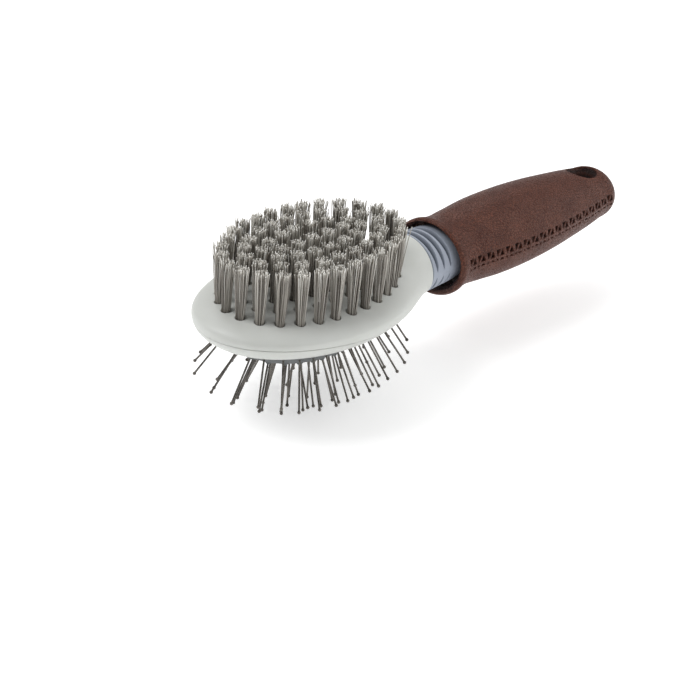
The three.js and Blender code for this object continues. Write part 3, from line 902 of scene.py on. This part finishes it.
def stitch_pit(x, height):
    """Depth share of the moulded stitching at x along the grip and height above the side line.

    The zigzag of the thread leaves a triangle on its base and one on its apex in every pitch, and
    a long and a short prick run along under it."""
    if not STITCH_FROM < x < STITCH_TO:
        return 0.0
    u = (x - STITCH_FROM) % STITCH_PITCH
    v = height - STITCH_BASE
    standing = triangle_pit(u, v, STANDING)
    hanging = triangle_pit(u, STITCH_HEIGHT - v, HANGING)
    pricks = 0.0
    for middle, half in PRICKS:
        along = abs(u - middle) / half
        across = abs(height + PRICK_DROP - 0.25 * math.cos(along * 1.2)) / PRICK_HALF_WIDTH
        pricks = max(pricks, min(1.0, 2.2 * (1 - max(along, across))))
    return max(standing, hanging, 0.8 * pricks)


def grip_angles():
    """Angles round the grip, crowded at both sides where the stitches are."""
    band = np.radians(np.linspace(-12, 21, 76))
    rest = np.radians(np.linspace(21, 159, 56))[1:]
    below = np.radians(np.linspace(192, 348, 56))[1:-1]
    mirrored = np.pi - band[::-1][1:]
    return np.concatenate([band, rest, mirrored[mirrored > rest[-1] + 1e-6], below])


def grip_sleeve(material):
    angles = sorted(set(np.round(grip_angles(), 6)))
    lip = list(np.arange(GRIP_FRONT_X, GRIP_LIP_END_X, 0.3))
    body = list(np.arange(GRIP_LIP_END_X, GRIP_BODY_END_X, 0.19))
    left = [1 - math.sin(math.pi / 2 * i / 18) for i in range(19)]
    end = [GRIP_END_X - (GRIP_END_X - GRIP_BODY_END_X) * share for share in left]
    end[-1] = GRIP_END_X - 0.01
    funnel = ((65, 0), (63.2, 0), (62.6, 0.06), (61.0, GRIP_FUNNEL * 0.8), (60.7, GRIP_FUNNEL))
    rings = [mouth_ring(x, out, angles) for x, out in funnel]
    for x in lip + body + end:
        rings.append(grip_ring(x, angles))
    points, faces = skin(rings)
    obj = mesh_piece("grip_leather", points, faces, material, "grip", 50)
    a, b = HANG_HOLE
    profile = [(-z, out) for out, z in HANG_HOLE_ROUNDING]
    profile += [(z, out) for out, z in reversed(HANG_HOLE_ROUNDING)]
    subtract(obj, *skin([oval(a + out, b + out, z, 56, HANG_HOLE_X) for z, out in profile]))
    shade(obj.data, 50)
    # Painted shade: the grip material darkens the stitches, the mouth and the hang hole by this.
    add_values(obj, "hollow_shade", [grip_hollow_shade(v.co) for v in obj.data.vertices])
    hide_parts("grip_sleeve")
    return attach(obj, "brush_body")


def grip_hollow_shade(place):
    """How deep in a stitch, the mouth or the hang hole a point lies, from 0 to 1, for painted shade
    there.
    """
    x = (place.x - HEAD_X) / MM
    y = place.y / MM
    z = (place.z - AXIS_Z) / MM
    radius = max(grip_half_width(x), 0.1)
    sunk = radius - math.hypot(y, z / GRIP_FLATNESS)
    a, b = HANG_HOLE
    if math.hypot((x - HANG_HOLE_X) / a, y / b) < 1.06:
        return min(1.0, max(0.0, sunk / 4))
    if x < 65.1:
        return min(1.0, max(0.0, (sunk - 0.8) / 1.2))
    return min(1.0, max(0.0, sunk / (0.7 * STITCH_DEPTH)))


def mouth_ring(x, out, angles):
    """A section of the grip's open mouth, wider than its bore by out."""
    a, b = GRIP_MOUTH
    return [(x, (a + out) * math.cos(t), COLLAR_Z + (b + out) * math.sin(t)) for t in angles]


def grip_ring(x, angles):
    """A section of the grip's outside, with the stitching pressed in."""
    radius = grip_half_width(x)
    ring = []
    for angle in angles:
        y, z = radius * math.cos(angle), GRIP_FLATNESS * radius * math.sin(angle)
        pit = 0.0
        if -3 < z < 4:
            pit = STITCH_DEPTH * stitch_pit(x, z)
        keep = 1 - pit / radius
        ring.append((x, y * keep, z))
    return ring


# ---- stage ----
def floor():
    """The pale ground, a hair below the lowest ball tip."""
    bpy.ops.mesh.primitive_plane_add(size=6, location=(0, 0, -0.0004))
    plane = bpy.context.object
    plane.name = "floor"
    plane.data.materials.append(floor_material())


def area_light(name, at, aim, size, power):
    """A square light; its places and size are in metres and its power in watts."""
    data = bpy.data.lights.new(name, "AREA")
    data.shape = "SQUARE"
    data.size = size
    data.energy = power
    light = bpy.data.objects.new(name, data)
    bpy.context.scene.collection.objects.link(light)
    light.location = at
    light.rotation_mode = "QUATERNION"
    light.rotation_quaternion = (Vector(aim) - Vector(at)).to_track_quat("-Z", "Y")


def lights():
    middle = (0, 0, 0.03)
    area_light("key_light", (-0.45, 0.35, 0.75), middle, 0.45, 4.2)
    area_light("front_light", (0.1, -0.8, 0.5), middle, 0.6, 1.2)
    area_light("back_light", (0.35, 0.5, 0.7), middle, 0.7, 2.2)
    area_light("end_light", (0.65, -0.4, 0.55), middle, 0.9, 3.2)
    world = bpy.data.worlds.new("studio")
    world.use_nodes = True
    world.node_tree.nodes["Background"].inputs["Color"].default_value = (1, 1, 1, 1)
    world.node_tree.nodes["Background"].inputs["Strength"].default_value = 0.34
    bpy.context.scene.world = world
    bpy.context.scene.view_settings.view_transform = "Standard"


def paint_kept_nodes(material):
    """The inner CAD nodes stay, in their own plastic."""
    for name in ("cushion_retainer", "handle_core"):
        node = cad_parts[name]
        node.data.materials.clear()
        node.data.materials.append(material)


make_camera()
shell_plastic = shell_material()
nylon = nylon_material()
steel = steel_material()
upper_shell(shell_plastic)
lower_shell(shell_plastic)
cushion(rubber_material())
neck_collar(collar_material())
grip_sleeve(grip_material())
draw = random.Random(BRISTLE_SEED)
for bank in range(BANKS):
    bristle_bank(bank, nylon, draw)
for row in range(len(PIN_ROWS)):
    pin_row(row, steel)
paint_kept_nodes(plastic_material())
floor()
lights()
